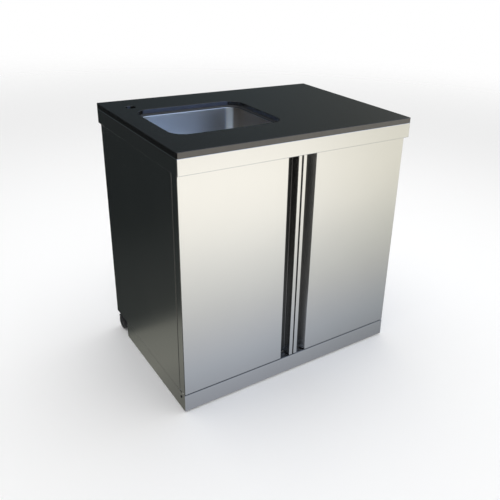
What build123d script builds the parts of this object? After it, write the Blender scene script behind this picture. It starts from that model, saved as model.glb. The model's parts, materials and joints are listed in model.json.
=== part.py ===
from build123d import *
import os

# Freestanding sink unit: a stone benchtop on a folded stainless top pan with a pressed bowl
# welded in, a folded carcass, two pivot-hung doors with full-height finger channels, a plinth
# round the front and sides, and four twin-wheel castors.
# Millimetres. +X right, +Y to the back, +Z up. Origin on the floor under the bench's centre.

os.makedirs("parts", exist_ok=True)

# ------------------------------------------------------------------ driving sizes: outside
bench_w = 900.0  # stone, left to right
bench_d = 650.0  # stone, front to back
bench_h = 920.0  # floor to the top of the stone
stone_t = 18.0
stone_corner_r = 6.0
stone_arris = 1.5
skirt_h = 53.0  # folded band under the stone
skirt_inset = 0.5  # stone edge to band
skirt_corner_r = 3.0
sheet = 1.2  # stainless gauge
bend_r = 1.2  # inside radius of the folds

side_inset = 6.5  # stone edge to carcass side
back_inset = 11.0  # stone edge to carcass back
door_recess = 17.5  # stone edge to door face
door_t = 35.0
door_seal = 3.0  # door back to carcass front
door_top_gap = 3.0
door_foot_gap = 3.5
plinth_h = 70.0  # floor to the underside of the base
plinth_floor_gap = 3.0

# ------------------------------------------------------------------ driving sizes: doors
meet_x = -4.0  # line where the doors meet
meet_gap = 5.0
grip_w = 14.2  # bright strip at the meeting edge
channel_w = 38.5  # mouth of the finger channel
channel_depth = 33.5
channel_slant_w = 14.2  # run of the slanted wall across the door
channel_slant_d = 26.5  # and into it
edge_return = 13.0  # folds along the back of the skin
door_lip = 12.0  # folds at the stile and sill ends
liner_lip = 5.0  # fold of the liner beside the channel
pivot_inset = 10.0  # door edge to pivot line
pin_r = 4.0
pin_clear = 0.05
bush_r = 7.0
bush_flange_r = 9.5
bush_len = 18.0
bush_seat = 0.3  # air between the bush flange and the plate
pin_reach = 14.0  # how far a pin goes into its door
plate_t = 2.0
pivot_plate_w = 44.0
pivot_plate_tail = 46.0  # how far the plate runs under the base

# ------------------------------------------------------------------ driving sizes: carcass
stile_w = 40.0
rail_drop = 29.0  # how far the front rail hangs below the top band
rail_flange = 30.0
sill_h = 40.0
base_flange = 20.0
back_flange = 20.0
top_flange = 25.0
fold_clear = 0.2  # between separate folded pieces
skirt_clear = 0.3  # between the top pan's lower flange and the carcass
brace_w = 40.0
brace_h = 28.0
brace_foot = 12.0
brace_gap = 53.0  # bowl flange to the middle of the first brace
brace_inset = 151.5  # carcass side to the middle of the second
service_w = 260.0
service_h = 150.0
service_r = 12.0
service_rise = 34.0  # middle of the service opening above the outlet pipe
trim_w = 6.0
trim_lip = 1.5
rivet_inset = 14.0  # rivets in from the carcass back
rivet_drops = (103.0, 200.0)  # upper rivets below the top of the stone
rivet_rises = (170.0, 73.0)  # lower rivets above the base
rivet_r = 2.0
rivet_head_r = 4.0
rivet_head_h = 1.4
hole_clear = 0.1

# ------------------------------------------------------------------ driving sizes: sink
sink_margin = 69.0  # left edge of the stone to its cut-out
sink_y = -3.0
cutout_w = 400.0
cutout_d = 335.0
cutout_r = 55.0
reveal = 8.0  # steel ledge seen inside the stone's cut-out
flange_w = 20.0  # steel flange under the stone
bowl_depth = 180.0
bowl_draft = 2.0  # degrees
rim_bend_r = 6.0
bowl_floor_r = 24.0
weld_gap = 0.1
tap_aside = 14.0  # tap hole from the left edge of the cut-out
tap_behind = 52.5  # and from its back edge
tap_r = 17.5
tap_plate_w = 110.0
tap_plate_d = 76.0
tap_plate_t = 3.0
clip_w = 26.0
clip_l = 24.0
clip_nut_r = 5.0
clip_nut_h = 4.0
clip_spacing = 180.0  # between the two clips of the front and back walls
clip_side_spacing = 120.0  # and of the side walls

# ------------------------------------------------------------------ driving sizes: waste
waste_behind = 45.0  # waste behind the middle of the bowl
sump_r = 58.0
sump_depth = 2.2
strainer_flange_r = 56.0
strainer_t = 1.5
cup_r = 43.0
cup_depth = 52.0
spigot_r = 20.0
spigot_len = 28.0
spigot_wall = 2.5
gasket_t = 2.5
nut_wall = 12.0
nut_h = 12.0
nut_lug = 5.0
basket_r = 38.0
basket_taper = 4.0
basket_h = 36.0
basket_wall = 1.0
basket_foot = 5.0  # basket floor above the cup floor
basket_hole_r = 2.6
basket_holes = 10
post_r = 4.0
knob_r = 9.0
knob_h = 8.0
plug_r = 22.0
plug_t = 4.0
seat_gap = 0.3
pipe_r = 20.0
pipe_wall = 2.0
pipe_clear = 0.2
trap_r = 33.0
trap_wall = 3.0
trap_drop = 47.8  # foot of the strainer spigot to the top of the trap
trap_h = 68.0
trap_neck_r = 24.0
trap_neck_h = 14.0
trap_dip = 21.0  # end of the pipe above the foot of the trap
outlet_drop = 26.0  # top of the trap to the outlet pipe
outlet_neck_len = 26.0
outlet_reach = 8.0  # pipe end past the carcass back
outlet_tail = 40.0  # end of the pipe that a hose slides over
outlet_groove_w = 3.0  # hose stop between the tail and the pipe
outlet_groove_t = 0.6
coupling_wall = 6.0
coupling_h = 26.0
coupling_ribs = 12
coupling_rib = 1.6
trap_cup_h = 34.0
trap_cup_wall = 3.0

# ------------------------------------------------------------------ driving sizes: plinth
plinth_return_short = 104.0  # the side returns stop this far from the carcass back
plinth_hem = 12.0
ledge_tail = 24.0  # plinth ledge under the base
side_plinth_gap = 1.0
bracket_t = 2.0
bracket_leg = 30.0
bracket_rise = 15.0  # top of the corner bracket above its screw
plinth_screw_inset = 27.5  # from the plinth face
plinth_screw_drop = 20.0  # from the top of the plinth
plinth_screw_r = 2.5
plinth_screw_head_r = 4.5
plinth_screw_head_h = 2.0
plinth_screw_len = 9.0

# ------------------------------------------------------------------ driving sizes: castors
wheel_r = 30.0
wheel_w = 17.0
wheel_gap = 16.0  # between the two wheels of a castor
wheel_crown = 4.0
hub_r = 19.0
hub_dish = 2.0
axle_r = 3.0
axle_clear = 0.05
castor_trail = 20.0
castor_plate = 44.0
castor_plate_t = 2.0
stem_r = 4.5
stem_len = 20.0
boss_r = 11.0
swivel_gap = 0.5
hood_t = 2.5
hood_gap = 1.0
hood_rise = 14.0  # foot of the hood above the axle
front_castor_side = 73.5  # swivel line from the carcass side
front_castor_in = 47.5  # and from the carcass front
rear_castor_side = 28.5
rear_castor_in = 52.0  # from the carcass back

# ------------------------------------------------------------------ driving sizes: catches
catch_w = 40.0
catch_h = 13.0
catch_d = 26.0
catch_inset = 90.0  # from the meeting line
strike_t = 1.5
strike_w = 36.0
strike_h = 22.0
bumper_r = 4.0

# ------------------------------------------------------------------ levels and planes
stone_under = bench_h - stone_t
pan_under = stone_under - sheet
skirt_foot = stone_under - skirt_h
base_under = plinth_h
base_top = base_under + sheet
door_foot = plinth_h + door_foot_gap
door_head = skirt_foot - door_top_gap
door_h = door_head - door_foot

body_half = bench_w / 2 - side_inset
skirt_half_w = bench_w / 2 - skirt_inset
skirt_half_d = bench_d / 2 - skirt_inset
door_face = -bench_d / 2 + door_recess
door_back = door_face + door_t
body_front = door_back + door_seal
body_back = bench_d / 2 - back_inset
pivot_y = (door_face + door_back) / 2
pivot_half = body_half - pivot_inset
inner_half = body_half - sheet - fold_clear
sill_half = body_half - stile_w - fold_clear
carcass_top = pan_under - fold_clear

sink_x = -bench_w / 2 + sink_margin + cutout_w / 2
seam_x = cutout_w / 2 + flange_w
seam_y = cutout_d / 2 + flange_w
tap_x = sink_x - cutout_w / 2 + tap_aside
tap_y = sink_y + cutout_d / 2 + tap_behind
waste_y = sink_y + waste_behind
brace_xs = (sink_x + seam_x + brace_gap, body_half - brace_inset)


def folded(points, turn):
    """Add one folded sheet section: the outside line, thickened by the gauge to one side."""
    with BuildLine() as section:
        FilletPolyline(*points, radius=bend_r + sheet)
        offset(amount=sheet, side=turn, kind=Kind.ARC)
    make_face(section.edges())


def save(builder, label):
    """Label a finished piece and write it."""
    builder.part.label = label
    export_step(builder.part, f"parts/{label}.step")


def bowl_outline(grow):
    """The bowl's plan at the underside of the stone, grown by a distance all round."""
    inner_r = cutout_r - reveal + grow
    RectangleRounded(cutout_w - 2 * reveal + 2 * grow, cutout_d - 2 * reveal + 2 * grow, inner_r)


# ------------------------------------------------------------------ benchtop
with BuildPart() as benchtop:
    with BuildSketch(Plane.XY.offset(stone_under)):
        RectangleRounded(bench_w, bench_d, stone_corner_r)
        with Locations((sink_x, sink_y)):
            RectangleRounded(cutout_w, cutout_d, cutout_r, mode=Mode.SUBTRACT)
        with Locations((tap_x, tap_y)):
            Circle(tap_r, mode=Mode.SUBTRACT)
    extrude(amount=stone_t)
    fillet(benchtop.faces().sort_by(Axis.Z)[-1].edges(), stone_arris)
save(benchtop, "benchtop")

# ------------------------------------------------------------------ top pan under the stone
def pan_block(inset, low, high, edge_r):
    """A block of the top pan's plan, set in all round, with its level edges rounded."""
    with BuildPart() as block:
        with BuildSketch(Plane.XY.offset(low)):
            RectangleRounded(
                2 * (skirt_half_w - inset), 2 * (skirt_half_d - inset), skirt_corner_r - inset
            )
        extrude(amount=high - low)
        fillet(block.faces().filter_by(Axis.Z).edges(), edge_r)
    return block.part


pan_outside = pan_block(0, skirt_foot, stone_under, bend_r + sheet)
pan_inside = pan_block(sheet, skirt_foot + sheet, pan_under, bend_r)
with BuildPart() as top_pan:
    add(pan_outside)
    add(pan_inside, mode=Mode.SUBTRACT)
    with BuildSketch(Plane.XY.offset(skirt_foot)):
        with Locations((0, (body_front + body_back) / 2)):
            Rectangle(2 * (body_half + skirt_clear), body_back - body_front + 2 * skirt_clear)
    extrude(amount=sheet, mode=Mode.SUBTRACT)
    with BuildSketch(Plane.XY.offset(pan_under)):
        with Locations((sink_x, sink_y)):
            bowl_outline(reveal + flange_w + weld_gap)
        with Locations((tap_x, tap_y)):
            Circle(tap_r)
    extrude(amount=sheet, mode=Mode.SUBTRACT)
    with Locations(
        (-pivot_half, pivot_y, skirt_foot + sheet / 2), (pivot_half, pivot_y, skirt_foot + sheet / 2)
    ):
        Cylinder(pin_r + skirt_clear, sheet, mode=Mode.SUBTRACT)
save(top_pan, "top_pan")

with BuildPart() as tap_backplate:
    with BuildSketch(Plane.XY.offset(pan_under - tap_plate_t)):
        with Locations((tap_x, tap_y)):
            RectangleRounded(tap_plate_w, tap_plate_d, stone_corner_r)
            Circle(tap_r, mode=Mode.SUBTRACT)
    extrude(amount=tap_plate_t)
save(tap_backplate, "tap_backplate")

# ------------------------------------------------------------------ pressed bowl
bowl_floor = stone_under - bowl_depth
sump_floor = bowl_floor - sump_depth
sump_under = sump_floor - sheet

with BuildPart() as bowl_hollow:
    with BuildSketch(Plane.XY.offset(stone_under)):
        with Locations((sink_x, sink_y)):
            bowl_outline(0)
    extrude(amount=-bowl_depth, taper=bowl_draft)
    fillet(bowl_hollow.faces().sort_by(Axis.Z)[0].edges(), bowl_floor_r)
    with Locations((sink_x, waste_y, bowl_floor - sump_depth / 2)):
        Cylinder(sump_r, sump_depth)

with BuildPart() as sink_bowl:
    with BuildSketch(Plane.XY.offset(pan_under)):
        with Locations((sink_x, sink_y)):
            bowl_outline(sheet)
    extrude(amount=-bowl_depth, taper=bowl_draft)
    fillet(sink_bowl.faces().sort_by(Axis.Z)[0].edges(), bowl_floor_r + sheet)
    with BuildSketch(Plane.XY.offset(pan_under)):
        with Locations((sink_x, sink_y)):
            bowl_outline(reveal + flange_w)
    extrude(amount=sheet)
    flange_under = sink_bowl.faces().filter_by(Plane.XY).sort_by(Axis.Z)[-2]
    fillet(flange_under.inner_wires()[0].edges(), rim_bend_r - sheet)
    with Locations((sink_x, waste_y, bowl_floor - (sump_depth + sheet) / 2)):
        Cylinder(sump_r + sheet, sump_depth + sheet)
    add(bowl_hollow.part, mode=Mode.SUBTRACT)
    flange_top = sink_bowl.faces().sort_by(Axis.Z)[-1]
    fillet(flange_top.inner_wires()[0].edges(), rim_bend_r)
    with Locations((sink_x, waste_y, sump_floor - sheet / 2)):
        Cylinder(cup_r + hole_clear, 2 * sheet, mode=Mode.SUBTRACT)
save(sink_bowl, "sink_bowl")

# clips under the welded seam, in pairs on each side of the bowl, each with its stud and nut
clip_places = [(0, dx, sy) for dx in (-clip_spacing / 2, clip_spacing / 2) for sy in (-1, 1)]
clip_places += [(90, dy, sx) for dy in (-clip_side_spacing / 2, clip_side_spacing / 2) for sx in (-1, 1)]


def clip_frames():
    """Yield the plane of each clip: origin on the seam, local +Y outwards."""
    for turn, along, sign in clip_places:
        across = seam_y if turn == 0 else seam_x
        spot = (along, sign * across) if turn == 0 else (sign * across, along)
        outward = (0, sign, 0) if turn == 0 else (sign, 0, 0)
        origin = (sink_x + spot[0], sink_y + spot[1], pan_under)
        yield Plane(origin=origin, x_dir=Vector(outward).rotate(Axis.Z, -90), z_dir=(0, 0, 1))


with BuildPart() as sink_clips:
    for frame in clip_frames():
        with BuildSketch(frame):
            RectangleRounded(clip_w, clip_l, plate_t)
        extrude(amount=-plate_t)
save(sink_clips, "sink_clips")

with BuildPart() as sink_clip_nuts:
    for frame in clip_frames():
        with BuildSketch(frame.offset(-plate_t)):
            with Locations((0, clip_l / 4)):
                RegularPolygon(clip_nut_r, 6)
        extrude(amount=-clip_nut_h)
        with BuildSketch(frame.offset(-plate_t)):
            with Locations((0, clip_l / 4)):
                Circle(clip_nut_r / 2)
        extrude(amount=-2 * clip_nut_h)
save(sink_clip_nuts, "sink_clip_nuts")

# ------------------------------------------------------------------ waste
cup_floor_under = sump_floor - cup_depth
cup_floor = cup_floor_under + strainer_t
spigot_foot = cup_floor_under - spigot_len
trap_top = spigot_foot - trap_drop
trap_bottom = trap_top - trap_h
pipe_foot = trap_bottom + trap_dip
outlet_z = trap_top - outlet_drop
waste_axis = Axis((sink_x, waste_y, 0), (0, 0, 1))
waste_plane = Plane(origin=(sink_x, waste_y, 0), x_dir=(1, 0, 0), z_dir=(0, -1, 0))
outlet_axis = Axis((sink_x, 0, outlet_z), (0, 1, 0))
outlet_plane = Plane(origin=(sink_x, 0, outlet_z), x_dir=(1, 0, 0), z_dir=(0, 0, 1))


def turned(points, plane=waste_plane, axis=waste_axis, mode=Mode.ADD):
    """Turn a closed outline of (radius, height) points about the waste's axis."""
    with BuildSketch(plane) as outline:
        with BuildLine():
            Polyline(*points, close=True)
        make_face()
    revolve(outline.sketch, axis=axis, mode=mode)


def ribs(radius, low, high, plane_at):
    """Add grip ribs round a nut, standing on its outer wall."""
    with BuildSketch(plane_at(low)) as teeth:
        with PolarLocations(radius, coupling_ribs):
            Rectangle(2 * coupling_rib, 2 * coupling_rib)
    extrude(teeth.sketch, amount=high - low)


def waste_level(z):
    """A level plane centred on the waste."""
    return Plane(origin=(sink_x, waste_y, z), z_dir=(0, 0, 1))


def outlet_level(y):
    """An upright plane centred on the outlet pipe, facing back."""
    return Plane(origin=(sink_x, y, outlet_z), z_dir=(0, 1, 0))


with BuildPart() as strainer_body:
    turned([
        (spigot_r - spigot_wall, cup_floor),
        (cup_r - strainer_t, cup_floor),
        (cup_r - strainer_t, sump_floor + strainer_t),
        (strainer_flange_r, sump_floor + strainer_t),
        (strainer_flange_r, sump_floor),
        (cup_r, sump_floor),
        (cup_r, cup_floor_under),
        (spigot_r, cup_floor_under),
        (spigot_r, spigot_foot),
        (spigot_r - spigot_wall, spigot_foot),
    ])
save(strainer_body, "strainer_body")

with BuildPart() as strainer_gasket:
    with BuildSketch(waste_level(sump_under)):
        Circle(cup_r + nut_wall)
        Circle(cup_r + hole_clear, mode=Mode.SUBTRACT)
    extrude(amount=-gasket_t)
save(strainer_gasket, "strainer_gasket")

with BuildPart() as strainer_nut:
    with BuildSketch(waste_level(sump_under - gasket_t)):
        Circle(cup_r + nut_wall)
        with PolarLocations(cup_r + nut_wall, 4):
            Rectangle(2 * nut_lug, 2 * nut_lug)
        Circle(cup_r + hole_clear, mode=Mode.SUBTRACT)
    extrude(amount=-nut_h)
save(strainer_nut, "strainer_nut")

basket_floor = cup_floor + basket_foot
basket_rim = basket_floor + basket_h
knob_foot = basket_rim + basket_wall
with BuildPart() as strainer_basket:
    turned([
        (0, basket_floor),
        (basket_r - basket_taper, basket_floor),
        (basket_r, basket_rim),
        (cup_r - strainer_t - 2 * fold_clear, basket_rim),
        (cup_r - strainer_t - 2 * fold_clear, basket_rim + basket_wall),
        (basket_r - basket_wall, basket_rim + basket_wall),
        (basket_r - basket_taper - basket_wall, basket_floor + basket_wall),
        (post_r, basket_floor + basket_wall),
        (post_r, knob_foot),
        (knob_r, knob_foot),
        (knob_r, knob_foot + knob_h),
        (0, knob_foot + knob_h),
    ])
    with Locations((sink_x, waste_y, basket_floor)):
        Cylinder(
            post_r - basket_wall, basket_foot - 2 * seat_gap, align=(Align.CENTER, Align.CENTER, Align.MAX)
        )
    chamfer(strainer_basket.faces().sort_by(Axis.Z)[-1].edges(), basket_wall)
    for row in (1, 2):
        with Locations(waste_level(basket_floor + row * basket_h / 3)):
            with PolarLocations(basket_r, basket_holes, start_angle=row * 180 / basket_holes):
                Cylinder(basket_hole_r, basket_r / 2, rotation=(0, 90, 0), mode=Mode.SUBTRACT)
    with Locations(waste_level(basket_floor)):
        with PolarLocations((basket_r + post_r) / 2 + basket_taper / 2, basket_holes):
            Cylinder(basket_hole_r, 4 * basket_wall, mode=Mode.SUBTRACT)
save(strainer_basket, "strainer_basket")

with BuildPart() as basket_plug:
    with BuildSketch(waste_level(cup_floor + seat_gap)):
        Circle(plug_r)
        Circle(post_r - basket_wall + hole_clear / 2, mode=Mode.SUBTRACT)
    extrude(amount=plug_t)
    chamfer(basket_plug.edges().filter_by(GeomType.CIRCLE).group_by(SortBy.RADIUS)[-1], plug_t / 4)
save(basket_plug, "basket_plug")

with BuildPart() as spigot_nut:
    with BuildSketch(waste_level(spigot_foot - coupling_h / 2)):
        Circle(spigot_r + pipe_clear + coupling_wall)
        Circle(spigot_r + pipe_clear, mode=Mode.SUBTRACT)
    extrude(amount=coupling_h)
    ribs(spigot_r + pipe_clear + coupling_wall, spigot_foot - coupling_h / 2,
         spigot_foot + coupling_h / 2, waste_level)
save(spigot_nut, "spigot_nut")

with BuildPart() as trap_inlet_pipe:
    with BuildSketch(waste_level(pipe_foot)):
        Circle(pipe_r)
        Circle(pipe_r - pipe_wall, mode=Mode.SUBTRACT)
    extrude(amount=spigot_foot - pipe_clear - pipe_foot)
save(trap_inlet_pipe, "trap_inlet_pipe")

pipe_bore = pipe_r + pipe_clear
neck_top = trap_top + trap_neck_h
neck_end = waste_y + trap_r + outlet_neck_len
with BuildPart() as trap_body:
    turned([
        (pipe_bore, neck_top),
        (trap_neck_r, neck_top),
        (trap_neck_r, trap_top),
        (trap_r, trap_top),
        (trap_r, trap_bottom),
        (trap_r - trap_wall, trap_bottom),
        (trap_r - trap_wall, trap_top - trap_wall),
        (pipe_bore, trap_top - trap_wall),
    ])
    with BuildSketch(outlet_level(waste_y + trap_r - trap_wall)):
        Circle(trap_neck_r)
    extrude(amount=outlet_neck_len + trap_wall)
    with Locations((sink_x, waste_y, (trap_top + trap_bottom - trap_wall) / 2)):
        Cylinder(trap_r - trap_wall, trap_top - trap_bottom - trap_wall, mode=Mode.SUBTRACT)
    with BuildSketch(outlet_level(waste_y + trap_r - 4 * trap_wall)):
        Circle(pipe_bore)
    extrude(amount=outlet_neck_len + 4 * trap_wall, mode=Mode.SUBTRACT)
save(trap_body, "trap_body")


def neck_nut(end, level, plane, axis, away):
    """A nut over the end of a trap neck: a sleeve with a lip that closes on the pipe."""
    skirt_end = end - away * trap_neck_h
    lip = end + away * pipe_clear
    crown = lip + away * coupling_wall
    turned([
        (trap_neck_r + pipe_clear, skirt_end),
        (trap_neck_r + pipe_clear + coupling_wall / 2, skirt_end),
        (trap_neck_r + pipe_clear + coupling_wall / 2, crown),
        (pipe_bore, crown),
        (pipe_bore, lip),
        (trap_neck_r + pipe_clear, lip),
    ], plane, axis)
    ribs(trap_neck_r + pipe_clear + coupling_wall / 2, min(skirt_end, crown), max(skirt_end, crown), level)


with BuildPart() as trap_neck_nut:
    neck_nut(neck_top, waste_level, waste_plane, waste_axis, 1)
save(trap_neck_nut, "trap_neck_nut")

with BuildPart() as trap_outlet_nut:
    neck_nut(neck_end, outlet_level, outlet_plane, outlet_axis, 1)
save(trap_outlet_nut, "trap_outlet_nut")

trap_cup_foot = trap_bottom - trap_cup_h / 2
with BuildPart() as trap_cup:
    turned([
        (0, trap_cup_foot),
        (trap_r + pipe_clear + trap_cup_wall, trap_cup_foot),
        (trap_r + pipe_clear + trap_cup_wall, trap_cup_foot + trap_cup_h),
        (trap_r + pipe_clear, trap_cup_foot + trap_cup_h),
        (trap_r + pipe_clear, trap_bottom - pipe_clear),
        (trap_r - trap_wall, trap_bottom - pipe_clear),
        (trap_r - trap_wall, trap_cup_foot + trap_cup_wall),
        (0, trap_cup_foot + trap_cup_wall),
    ])
    ribs(trap_r + pipe_clear + trap_cup_wall, trap_cup_foot, trap_cup_foot + trap_cup_h, waste_level)
save(trap_cup, "trap_cup")

outlet_start = waste_y + trap_r + pipe_wall
outlet_end = body_back + outlet_reach
with BuildPart() as outlet_pipe:
    with BuildSketch(outlet_level(outlet_start)):
        Circle(pipe_r)
        Circle(pipe_r - pipe_wall, mode=Mode.SUBTRACT)
    extrude(amount=outlet_end - outlet_start)
    with BuildSketch(outlet_level(outlet_end - outlet_tail)):
        Circle(pipe_r + outlet_groove_t)
        Circle(pipe_r - outlet_groove_t, mode=Mode.SUBTRACT)
    extrude(amount=-outlet_groove_w, mode=Mode.SUBTRACT)
save(outlet_pipe, "outlet_pipe")

# ------------------------------------------------------------------ carcass
wing_front = body_front + door_lip + fold_clear
floor_back = body_back - sheet - fold_clear
rail_foot = skirt_foot - rail_drop
service_z = outlet_z + service_rise
rivet_y = body_back - rivet_inset
rivet_zs = [bench_h - drop for drop in rivet_drops] + [base_under + rise for rise in rivet_rises]


def rectangle(x0, x1, y0, y1, mode=Mode.ADD):
    """A rectangle between two corners of the current sketch."""
    with Locations(((x0 + x1) / 2, (y0 + y1) / 2)):
        Rectangle(abs(x1 - x0), abs(y1 - y0), mode=mode)


def side_plane(side, y, z):
    """A plane on the outside of a carcass side, facing out, with z upwards."""
    return Plane(origin=(side * body_half, y, z), x_dir=(0, side, 0), z_dir=(side, 0, 0))


def rivet_spots(x):
    """Places of the rivets in one carcass side."""
    return [(x, rivet_y, z) for z in rivet_zs]


with BuildPart() as left_side_panel:
    with BuildSketch(Plane.XY.offset(base_under)):
        folded([
            (-body_half, body_back),
            (-body_half, body_front),
            (-body_half + stile_w, body_front),
            (-body_half + stile_w, body_front + door_lip),
        ], Side.LEFT)
    extrude(amount=carcass_top - base_under)
    with BuildSketch(Plane.XY.offset(carcass_top - sheet)):
        rectangle(
            -body_half + sheet / 2, -body_half + base_flange,
            body_front + rail_flange, body_back - rail_flange,
        )
    extrude(amount=sheet)
    with Locations(rivet_spots(-body_half)):
        Cylinder(rivet_r + hole_clear, 4 * sheet, rotation=(0, 90, 0), mode=Mode.SUBTRACT)
save(left_side_panel, "left_side_panel")

with BuildPart() as right_side_panel:
    mirror(left_side_panel.part, about=Plane.YZ)
save(right_side_panel, "right_side_panel")

with BuildPart() as back_panel:
    with BuildSketch(Plane.XY.offset(base_top + fold_clear)):
        folded([
            (-inner_half, body_back - back_flange),
            (-inner_half, body_back),
            (inner_half, body_back),
            (inner_half, body_back - back_flange),
        ], Side.RIGHT)
    extrude(amount=carcass_top - base_top - fold_clear)
    with BuildSketch(Plane.XY.offset(carcass_top - sheet)):
        rectangle(
            -inner_half + back_flange, inner_half - back_flange,
            body_back - top_flange, body_back - sheet / 2,
        )
    extrude(amount=sheet)
    with BuildSketch(Plane.XZ.offset(-body_back)):
        with Locations((sink_x, service_z)):
            RectangleRounded(service_w, service_h, service_r)
    extrude(amount=2 * sheet, mode=Mode.SUBTRACT)
    with Locations(rivet_spots(-inner_half) + rivet_spots(inner_half)):
        Cylinder(rivet_r + hole_clear, 4 * sheet, rotation=(0, 90, 0), mode=Mode.SUBTRACT)
save(back_panel, "back_panel")

with BuildPart() as service_trim:
    with BuildSketch(Plane.XZ.offset(-body_back - trim_lip)):
        with Locations((sink_x, service_z)):
            RectangleRounded(service_w + 2 * trim_w, service_h + 2 * trim_w, service_r + trim_w)
            RectangleRounded(
                service_w - trim_w, service_h - trim_w, service_r - trim_w / 2, mode=Mode.SUBTRACT
            )
    extrude(amount=sheet + 2 * trim_lip)
    with BuildSketch(Plane.XZ.offset(-body_back - hole_clear)):
        with Locations((sink_x, service_z)):
            RectangleRounded(service_w + 3 * trim_w, service_h + 3 * trim_w, service_r + trim_w)
            RectangleRounded(
                service_w - 2 * hole_clear, service_h - 2 * hole_clear, service_r, mode=Mode.SUBTRACT
            )
    extrude(amount=sheet + 2 * hole_clear, mode=Mode.SUBTRACT)
save(service_trim, "service_trim")

with BuildPart() as base_pan:
    with BuildSketch(Plane.XY.offset(base_under)):
        rectangle(-inner_half + sheet, inner_half - sheet, wing_front, floor_back)
    extrude(amount=sheet)
    with BuildSketch(Plane.YZ):
        folded([
            (wing_front + door_lip, base_under),
            (body_front, base_under),
            (body_front, base_under + sill_h),
            (body_front + door_lip, base_under + sill_h),
        ], Side.RIGHT)
    extrude(amount=sill_half, both=True)
    with BuildSketch(Plane.XZ.offset(-wing_front)):
        folded([
            (inner_half - base_flange, base_under),
            (inner_half, base_under),
            (inner_half, base_under + base_flange),
        ], Side.LEFT)
        mirror(about=Plane.YZ)
    extrude(amount=-(body_back - back_flange - fold_clear - wing_front))
save(base_pan, "base_pan")

with BuildPart() as front_rail:
    with BuildSketch(Plane.YZ):
        folded([
            (body_front + rail_flange, carcass_top),
            (body_front, carcass_top),
            (body_front, rail_foot),
            (body_front + rail_flange, rail_foot),
        ], Side.LEFT)
    extrude(amount=sill_half, both=True)
save(front_rail, "front_rail")

for number, brace_x in enumerate(brace_xs, start=1):
    with BuildPart() as bench_brace:
        with BuildSketch(Plane.XZ.offset(-(body_front + rail_flange + door_lip))):
            folded([
                (brace_x - brace_w / 2 - brace_foot, pan_under),
                (brace_x - brace_w / 2, pan_under),
                (brace_x - brace_w / 2, pan_under - brace_h),
                (brace_x + brace_w / 2, pan_under - brace_h),
                (brace_x + brace_w / 2, pan_under),
                (brace_x + brace_w / 2 + brace_foot, pan_under),
            ], Side.RIGHT)
        extrude(amount=-(body_back - body_front - 2 * rail_flange - 2 * door_lip))
    save(bench_brace, f"bench_brace_{number}")

with BuildPart() as panel_rivets:
    for side in (-1, 1):
        face = side_plane(side, rivet_y, 0)
        for z in rivet_zs:
            with BuildSketch(face):
                with Locations((0, z)):
                    Circle(rivet_head_r)
            extrude(amount=rivet_head_h, taper=45)
            with BuildSketch(face):
                with Locations((0, z)):
                    Circle(rivet_r)
            extrude(amount=-4 * sheet)
save(panel_rivets, "panel_rivets")

# ------------------------------------------------------------------ plinth
bracket_x = body_half - sheet - fold_clear
bracket_y = door_face + sheet + fold_clear
plinth_return_end = body_back - plinth_return_short
plinth_screw_y = door_face + plinth_screw_inset
plinth_screw_z = plinth_h - plinth_screw_drop
bracket_foot = plinth_floor_gap + plinth_hem
ledge_back = body_front + ledge_tail
plate_inner = body_half - sheet - fold_clear - pivot_plate_w
with BuildPart() as plinth_front:
    with BuildSketch(Plane.YZ):
        folded([
            (ledge_back, plinth_h),
            (door_face, plinth_h),
            (door_face, plinth_floor_gap),
            (door_face + plinth_hem, plinth_floor_gap),
        ], Side.LEFT)
    extrude(amount=body_half, both=True)
    for side in (-1, 1):
        with BuildSketch(Plane.XY.offset(plinth_h)):
            rectangle(
                side * (plate_inner - fold_clear), side * (body_half + sheet),
                door_face + bend_r + sheet, ledge_back + sheet,
            )
        extrude(amount=-2 * sheet, mode=Mode.SUBTRACT)
        for end_z in (plinth_floor_gap, plinth_h - 2 * sheet - bend_r):
            with BuildSketch(Plane.XY.offset(end_z)):
                rectangle(
                    side * bracket_x, side * (body_half + sheet),
                    door_face + sheet, door_face + 2 * plinth_hem,
                )
            extrude(amount=2 * sheet + bend_r, mode=Mode.SUBTRACT)
save(plinth_front, "plinth_front")

with BuildPart() as left_plinth:
    with BuildSketch(Plane.XZ.offset(-bracket_y)):
        folded([
            (-body_half, plinth_h - side_plinth_gap),
            (-body_half, plinth_floor_gap),
            (-body_half + plinth_hem, plinth_floor_gap),
        ], Side.LEFT)
    extrude(amount=-(plinth_return_end - bracket_y))
    with BuildSketch(Plane.XY.offset(plinth_floor_gap)):
        rectangle(
            -body_half + sheet, -body_half + plinth_hem + sheet,
            door_face, bracket_y + plinth_hem,
        )
    extrude(amount=2 * sheet, mode=Mode.SUBTRACT)
    with Locations((-body_half, plinth_screw_y, plinth_screw_z)):
        Cylinder(plinth_screw_r + hole_clear, 4 * sheet, rotation=(0, 90, 0), mode=Mode.SUBTRACT)
save(left_plinth, "left_plinth")

with BuildPart() as right_plinth:
    mirror(left_plinth.part, about=Plane.YZ)
save(right_plinth, "right_plinth")

with BuildPart() as plinth_corner_brackets:
    with BuildSketch(Plane.XY.offset(bracket_foot)):
        rectangle(-bracket_x, -bracket_x + bracket_leg, bracket_y, bracket_y + bracket_t)
        rectangle(-bracket_x, -bracket_x + bracket_t, bracket_y, bracket_y + bracket_leg + bracket_t)
    extrude(amount=plinth_screw_z + bracket_rise - bracket_foot)
    with Locations((-bracket_x, plinth_screw_y, plinth_screw_z)):
        Cylinder(plinth_screw_r + hole_clear, 4 * bracket_t, rotation=(0, 90, 0), mode=Mode.SUBTRACT)
    mirror(about=Plane.YZ)
save(plinth_corner_brackets, "plinth_corner_brackets")

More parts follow.
